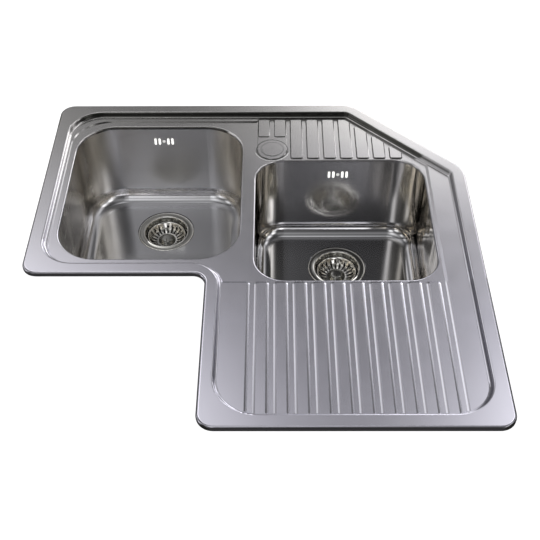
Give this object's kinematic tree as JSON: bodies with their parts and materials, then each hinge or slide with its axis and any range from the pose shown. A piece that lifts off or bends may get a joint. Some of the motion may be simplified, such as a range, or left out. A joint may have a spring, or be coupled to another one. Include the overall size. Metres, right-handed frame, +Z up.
{
  "type": "corner kitchen sink",
  "caption": "L-shaped inset corner kitchen sink with two deep bowls, a ribbed front drainer, a small ribbed back drainer, basket wastes and overflows.",
  "frame": {"origin": "where the two inner edges of the L would meet, in the worktop's top plane, on the underside of the rim seal", "axes": "+X along the back edge towards the drainer side, +Y towards the back edge, +Z up out of the worktop"},
  "size_m": [0.833, 0.833, 0.3033],
  "materials": {
    "satin_steel": "satin, fine grain along the back edge",
    "bowl_steel": "satin, softly reflecting",
    "bright_bowl_steel": "bright polished, mirror-like",
    "polished_steel": "bright polished",
    "plain_steel": "plain mill finish",
    "zinc_steel": "zinc plated, dull",
    "brass_nut": "plain turned brass",
    "black_rubber": "matt black rubber",
    "white_rubber": "soft white gasket",
    "grey_foam": "closed-cell grey foam",
    "damping_pad": "dull black damping sheet",
    "black_plastic": "matt black moulded plastic",
    "white_plastic": "white moulded plastic"
  },
  "bodies": {
    "sink": {"deck": "satin_steel", "left_bowl": "bowl_steel", "right_bowl": "bright_bowl_steel", "rim_seal": "grey_foam", "clip_rails": "plain_steel", "fixing_clips": "zinc_steel", "clip_screws": "zinc_steel", "left_sound_pad": "damping_pad", "left_flange_seal": "black_rubber", "left_strainer_cup": "polished_steel", "left_body_gasket": "black_rubber", "left_waste_body": "black_plastic", "left_clamp_screw": "plain_steel", "left_clamp_nut": "brass_nut", "left_overflow_gasket": "white_rubber", "left_overflow_housing": "white_plastic", "left_overflow_screw": "white_plastic", "right_sound_pad": "damping_pad", "right_flange_seal": "black_rubber", "right_strainer_cup": "polished_steel", "right_body_gasket": "black_rubber", "right_waste_body": "black_plastic", "right_clamp_screw": "plain_steel", "right_clamp_nut": "brass_nut", "right_overflow_gasket": "white_rubber", "right_overflow_housing": "white_plastic", "right_overflow_screw": "white_plastic"},
    "left_strainer": {"left_basket": "polished_steel", "left_basket_knob": "polished_steel", "left_basket_stem": "black_plastic", "left_basket_plug": "black_rubber"},
    "right_strainer": {"right_basket": "polished_steel", "right_basket_knob": "polished_steel", "right_basket_stem": "black_plastic", "right_basket_plug": "black_rubber"}
  },
  "joints": [
    {"name": "left_strainer_lift", "type": "slide", "parent": "sink", "child": "left_strainer", "axis": [0, 0, 1], "range_m": [0, 0.26]},
    {"name": "right_strainer_lift", "type": "slide", "parent": "sink", "child": "right_strainer", "axis": [0, 0, 1], "range_m": [0, 0.26]}
  ]
}
